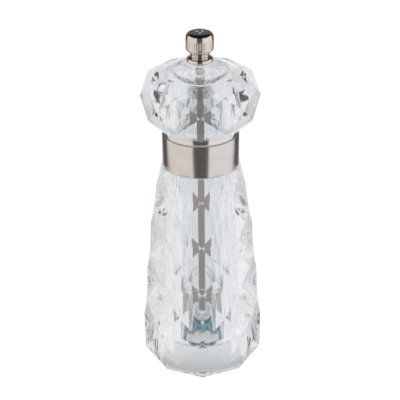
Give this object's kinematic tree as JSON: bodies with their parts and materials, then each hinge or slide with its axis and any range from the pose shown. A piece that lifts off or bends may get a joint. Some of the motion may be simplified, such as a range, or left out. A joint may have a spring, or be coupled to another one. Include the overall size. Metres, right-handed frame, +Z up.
{
  "type": "pepper mill",
  "caption": "Clear faceted pepper mill with a turning head, brushed steel collar, ceramic grinder and a top knob that sets the grind.",
  "frame": {"origin": "centre of the foot, on the table", "axes": "+Z up the mill's axis towards the knob; -Y is the front, where a corner of the foot points"},
  "size_m": [0.0616, 0.0616, 0.18],
  "materials": {
    "clear_acrylic": "thick clear acrylic, polished facets",
    "clear_plastic": "clear moulded plastic",
    "brushed_steel": "fine brushed stainless steel",
    "polished_steel": "polished stainless steel",
    "shaft_steel": "drawn steel rod",
    "screw_steel": "bright plated steel",
    "spring_steel": "spring wire",
    "plated_nickel": "warm bright nickel plate",
    "insert_brass": "turned brass",
    "grinder_ceramic": "matt white sintered ceramic",
    "white_plastic": "white moulded plastic",
    "teal_plastic": "teal moulded plastic",
    "black_inlay": "black enamel disc",
    "mark_silver": "pale printed dots"
  },
  "bodies": {
    "body": {"body_shell": "clear_acrylic", "collar_ring": "brushed_steel", "feed_tube": "clear_plastic", "grinder_housing": "white_plastic", "guide_spider": "clear_plastic", "stator_ring": "grinder_ceramic", "retaining_ring": "white_plastic", "grinder_screws": "screw_steel"},
    "spring_seat": {"thrust_washer": "screw_steel"},
    "spindle": {"rotor_spring": "spring_steel", "rotor_sleeve": "white_plastic", "feeder": "teal_plastic", "rotor_cone": "grinder_ceramic", "rotor_washer": "screw_steel", "rotor_nut": "screw_steel", "drive_shaft": "shaft_steel"},
    "head_seat": {"glide_ring": "white_plastic"},
    "head": {"head_crown": "clear_acrylic", "head_trim_ring": "polished_steel", "head_plug": "clear_plastic", "drive_plate": "brushed_steel", "drive_plate_screws": "screw_steel", "knob_washer": "white_plastic"},
    "knob": {"knob_shell": "plated_nickel", "knob_insert": "insert_brass", "knob_inlay": "black_inlay", "inlay_mark": "mark_silver"}
  },
  "joints": [
    {"name": "shaft_turn", "type": "hinge", "parent": "body", "child": "spring_seat", "pos_m": [0, 0, 0.0252], "axis": [0, 0, 1], "continuous": true},
    {"name": "shaft_lift", "type": "slide", "parent": "spring_seat", "child": "spindle", "axis": [0, 0, 1], "range_m": [-0.0012, 0.0004], "deforming": ["rotor_spring"]},
    {"name": "head_lift", "type": "slide", "parent": "body", "child": "head_seat", "axis": [0, 0, 1], "range_m": [0, 0.06]},
    {"name": "head_turn", "type": "hinge", "parent": "head_seat", "child": "head", "pos_m": [0, 0, 0.1296], "axis": [0, 0, 1], "continuous": true},
    {"name": "knob_turn", "type": "hinge", "parent": "head", "child": "knob", "pos_m": [0, 0, 0.1651], "axis": [0, 0, 1], "range_deg": [-180, 540]}
  ],
  "couplings": [
    {"joint": "shaft_turn", "follows": "head_turn", "ratio": 1},
    {"joint": "knob_turn", "follows": "shaft_lift", "rad_per_m": -7854}
  ]
}
